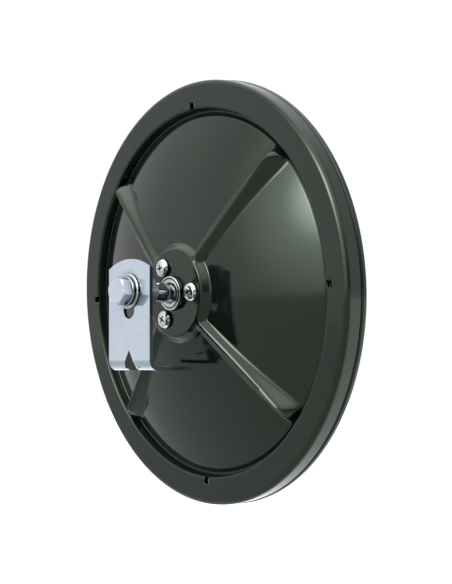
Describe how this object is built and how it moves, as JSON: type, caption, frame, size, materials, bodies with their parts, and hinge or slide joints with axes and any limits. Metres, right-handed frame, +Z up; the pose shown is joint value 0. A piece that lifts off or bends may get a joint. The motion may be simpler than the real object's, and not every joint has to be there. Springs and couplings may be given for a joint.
{
  "type": "convex mirror with ball stud and angle bracket",
  "caption": "Round convex mirror in a ribbed black pressed housing, held at its centre by a ball stud on a slotted angle bracket.",
  "frame": {"origin": "on the underside of the bracket's flange, midway between its two screw holes", "axes": "+Z up, -Z out of the flange's underside; the mirror faces -Y, and +Y is its back and the stud's axis"},
  "size_m": [0.2159, 0.0726, 0.2159],
  "materials": {
    "zinc_plate": "bright zinc-plated sheet, lightly rolled",
    "zinc_fastener": "bright zinc plate",
    "chrome": "polished",
    "plain_steel": "plain pressed steel",
    "spring_steel": "dark spring steel",
    "nylon": "natural nylon",
    "black_enamel": "glossy black baked enamel",
    "silvered_glass": "second-surface silvered glass",
    "gasket_rubber": "matt black rubber",
    "foam": "grey closed-cell foam"
  },
  "bodies": {
    "bracket": {"l_bracket": "zinc_plate"},
    "stud": {"ball_stud": "zinc_fastener", "stud_flat_washer": "zinc_fastener", "stud_lock_washer": "zinc_fastener", "stud_bolt": "zinc_fastener"},
    "liner": {"ball_liner": "nylon"},
    "socket": {"socket_collar": "chrome", "seat_cup": "plain_steel", "spring_washer": "spring_steel"},
    "head": {"rear_housing": "black_enamel", "front_bezel": "black_enamel", "mirror_glass": "silvered_glass", "rim_gasket": "gasket_rubber", "foam_ring": "foam", "socket_plate": "plain_steel", "socket_screw_1": "chrome", "socket_screw_2": "chrome", "socket_screw_3": "chrome", "socket_nut_1": "plain_steel", "socket_nut_2": "plain_steel", "socket_nut_3": "plain_steel"}
  },
  "joints": [
    {"name": "stud_slide", "type": "slide", "parent": "bracket", "child": "stud", "axis": [0, 0, 1], "range_m": [-0.0088, 0]},
    {"name": "head_tilt", "type": "hinge", "parent": "stud", "child": "liner", "pos_m": [0, -0.0148, 0.0385], "axis": [1, 0, 0], "range_deg": [-15, 7.5]},
    {"name": "head_swivel", "type": "hinge", "parent": "liner", "child": "socket", "pos_m": [0, -0.0148, 0.0385], "axis": [0, 0.0471, 0.9989], "range_deg": [-10, 14]},
    {"name": "head_spin", "type": "hinge", "parent": "socket", "child": "head", "pos_m": [0, -0.0148, 0.0385], "axis": [0.0349, 0.9983, -0.0471], "continuous": true}
  ]
}
